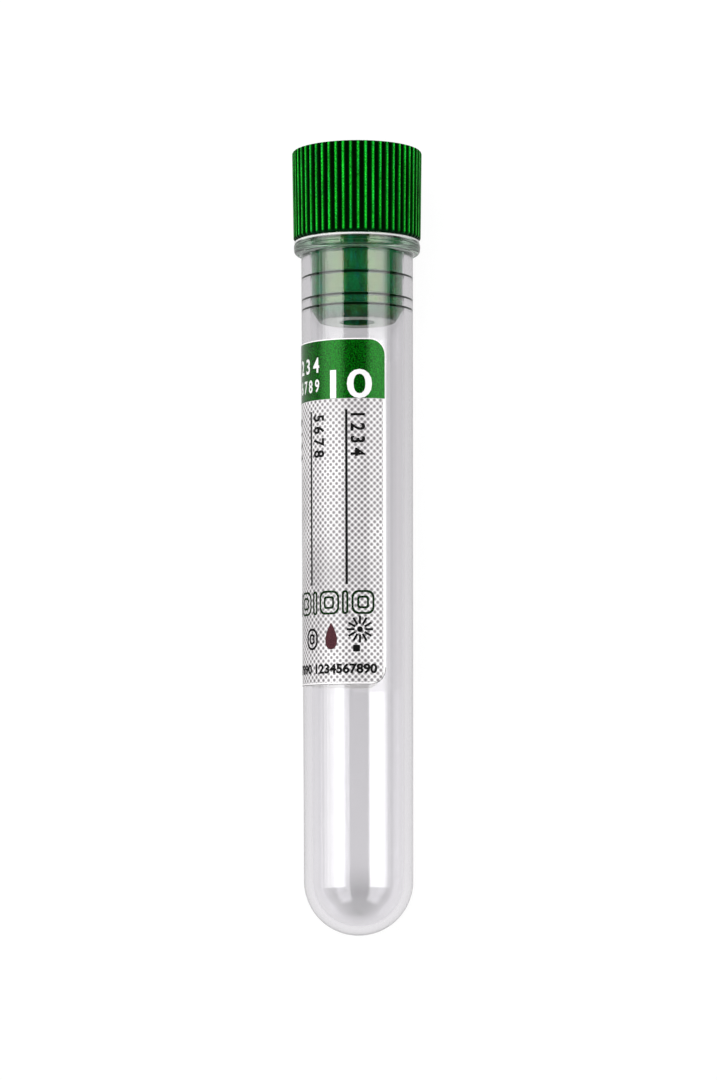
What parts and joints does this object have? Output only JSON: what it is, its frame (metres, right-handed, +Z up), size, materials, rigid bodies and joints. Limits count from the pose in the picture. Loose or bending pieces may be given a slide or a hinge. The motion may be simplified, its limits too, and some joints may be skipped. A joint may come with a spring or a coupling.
{
  "type": "blood collection tube",
  "caption": "Clear round-bottomed blood collection tube with a green ribbed push-in stopper and a wrap-around label, lying at rest on its side.",
  "frame": {"origin": "on the surface the tube lies on, below the middle of the whole part", "axes": "+X runs from the stopper towards the round tail along the tube's length, +Y across the tube, +Z up"},
  "size_m": [0.1132, 0.0188, 0.0188],
  "materials": {
    "clear_plastic": "clear polished injection-moulded plastic",
    "green_stopper": "satin green moulded polyethylene",
    "label_paper": "coated white label stock with a green band and fine grey dots"
  },
  "bodies": {
    "tube": {"tube": "clear_plastic", "label": "label_paper"},
    "stopper": {"stopper": "green_stopper"}
  },
  "joints": [
    {"name": "stopper_pull", "type": "slide", "parent": "tube", "child": "stopper", "axis": [-0.9999, 0, 0.0154], "range_m": [0, 0.03]}
  ]
}
